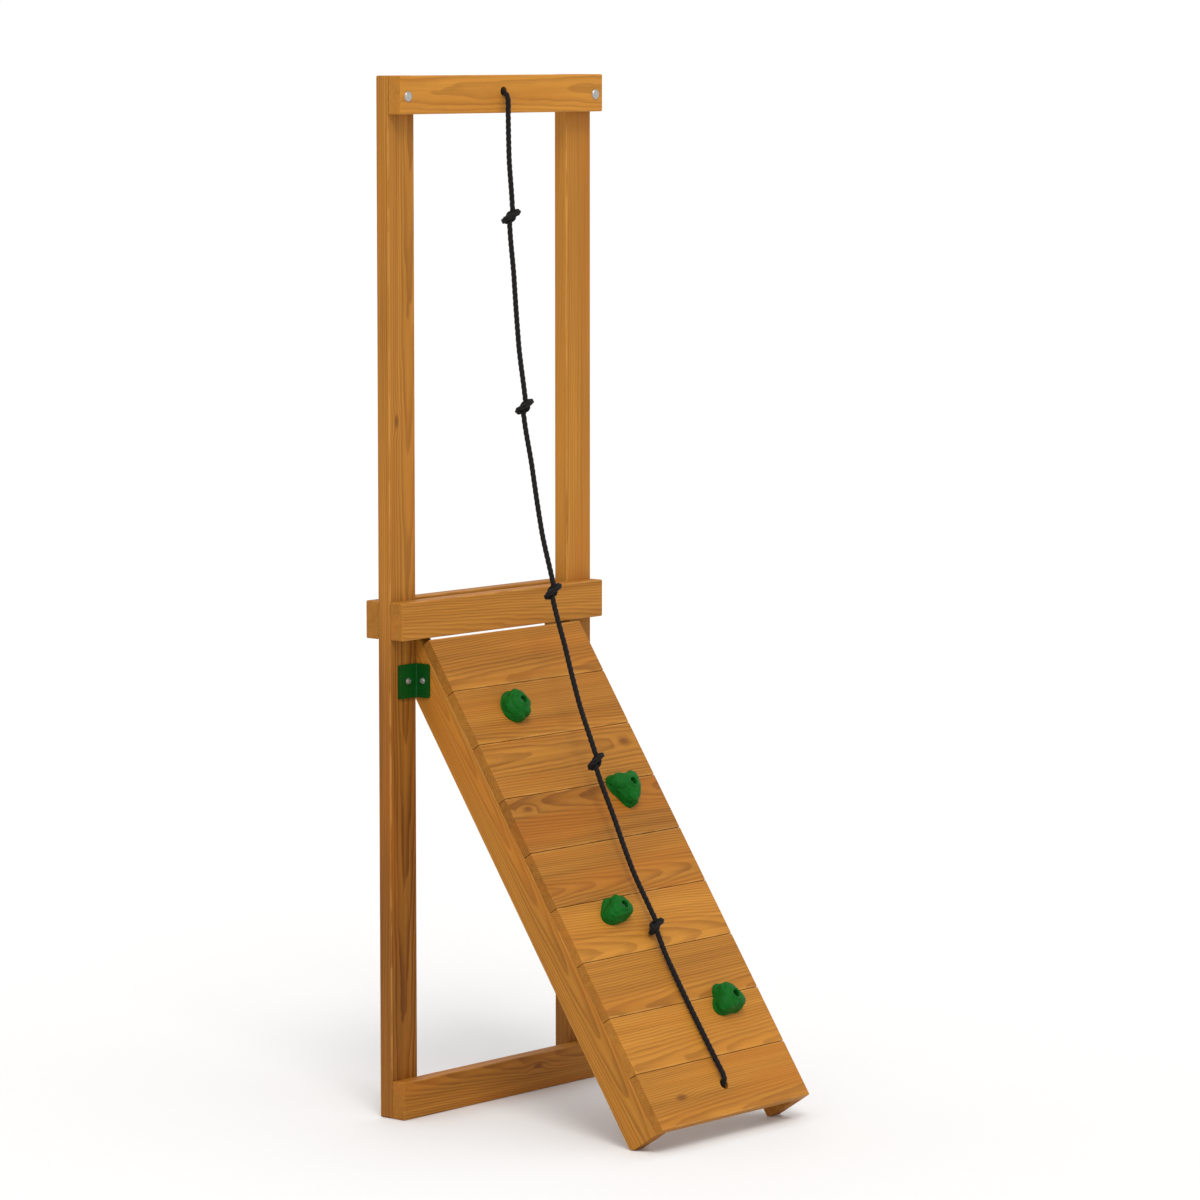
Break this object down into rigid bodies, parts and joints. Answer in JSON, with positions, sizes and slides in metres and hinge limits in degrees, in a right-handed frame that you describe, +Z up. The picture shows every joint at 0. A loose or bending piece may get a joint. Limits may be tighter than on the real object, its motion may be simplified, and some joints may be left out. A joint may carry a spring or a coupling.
{
  "type": "rock climbing wall",
  "caption": "Free-standing timber climbing wall: a sloping board panel with moulded rock holds leans on a tall two-post frame, with a knotted rope from its top beam.",
  "frame": {"origin": "middle of the front ground beam's underside, on the ground", "axes": "+Z up, +X along the width to the right of someone facing the wall, +Y away from the climber; the panel slopes down towards -Y"},
  "size_m": [0.72, 0.8308, 2.438],
  "materials": {
    "timber": "honey stained, semi-matt",
    "board": "honey stained, semi-matt",
    "bracket": "dark green powder coat",
    "hold": "textured moulded plastic",
    "steel": "galvanised",
    "rope": "braided synthetic rope"
  },
  "bodies": {
    "root": {"left_post": "timber", "right_post": "timber", "top_beam": "timber", "mid_beam_front": "timber", "mid_beam_back": "timber", "ground_beam": "timber", "left_rail": "timber", "right_rail": "timber", "board_1": "board", "board_2": "board", "board_3": "board", "board_4": "board", "board_5": "board", "board_6": "board", "board_7": "board", "board_8": "board", "board_9": "board", "corner_bracket_left": "bracket", "corner_bracket_right": "bracket", "rock_hold_1": "hold", "rock_hold_2": "hold", "rock_hold_3": "hold", "rock_hold_4": "hold", "top_bolt_left": "steel", "top_bolt_right": "steel", "top_nut_left": "steel", "top_nut_right": "steel", "mid_screw_left_upper": "steel", "mid_screw_left_lower": "steel", "mid_screw_right_upper": "steel", "mid_screw_right_lower": "steel", "ground_screw_left_upper": "steel", "ground_screw_left_lower": "steel", "ground_screw_right_upper": "steel", "ground_screw_right_lower": "steel", "post_screw_left": "steel", "post_screw_right": "steel", "rail_screw_left": "steel", "rail_screw_right": "steel", "hold_screw_1": "steel", "hold_screw_2": "steel", "hold_screw_3": "steel", "hold_screw_4": "steel", "tee_nut_1": "steel", "tee_nut_2": "steel", "tee_nut_3": "steel", "tee_nut_4": "steel", "rope": "rope", "rope_knot_1": "rope", "rope_knot_2": "rope", "rope_knot_3": "rope", "rope_knot_4": "rope", "rope_knot_5": "rope", "stop_knot_top": "rope", "stop_knot_foot": "rope"}
  },
  "joints": []
}
